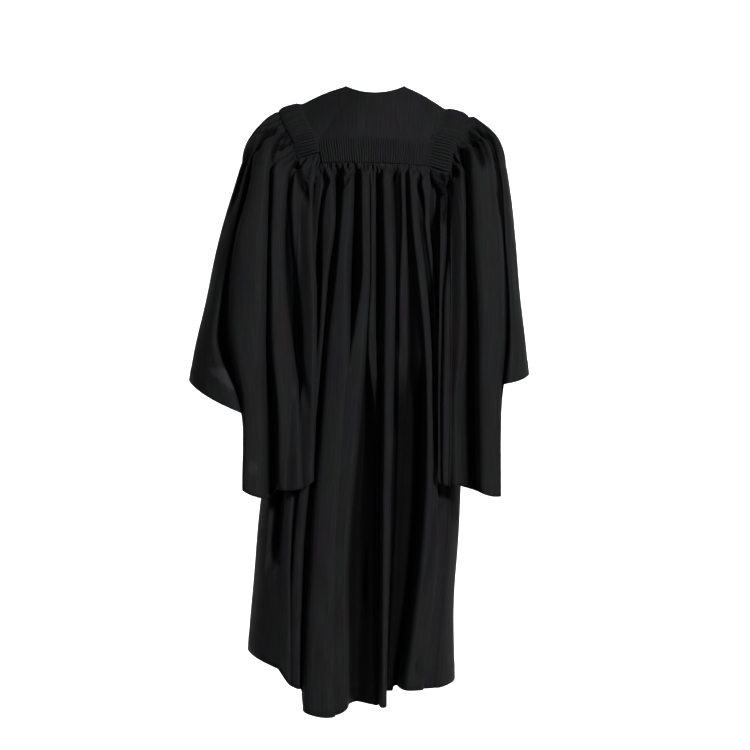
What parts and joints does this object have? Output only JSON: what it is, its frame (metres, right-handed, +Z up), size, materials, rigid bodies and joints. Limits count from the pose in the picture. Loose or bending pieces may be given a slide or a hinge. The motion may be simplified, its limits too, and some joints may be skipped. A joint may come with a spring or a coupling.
{
  "type": "graduation gown",
  "caption": "Open-fronted black academic gown with gauged pleats under a back yoke and wide open bell sleeves, in its hollow worn form.",
  "frame": {"origin": "middle of the neck opening, level with the base of the neck, where the wearer's shoulders hold the gown up", "axes": "+Z up, +Y towards the gown's back, +X towards the left sleeve"},
  "size_m": [0.6641, 0.4003, 1.2065],
  "materials": {
    "yoke": "matt black woven cloth",
    "back_gauging": "matt black woven cloth, gauged",
    "back": "matt black woven cloth",
    "front_left": "matt black woven cloth",
    "front_right": "matt black woven cloth",
    "sleeve_gauging_left": "matt black woven cloth, gauged",
    "sleeve_gauging_right": "matt black woven cloth, gauged",
    "sleeve_left": "matt black woven cloth",
    "sleeve_right": "matt black woven cloth"
  },
  "bodies": {
    "root": {"yoke": "yoke", "back_gauging": "back_gauging", "back": "back", "front_left": "front_left", "front_right": "front_right", "sleeve_gauging_left": "sleeve_gauging_left", "sleeve_gauging_right": "sleeve_gauging_right", "sleeve_left": "sleeve_left", "sleeve_right": "sleeve_right"}
  },
  "joints": []
}
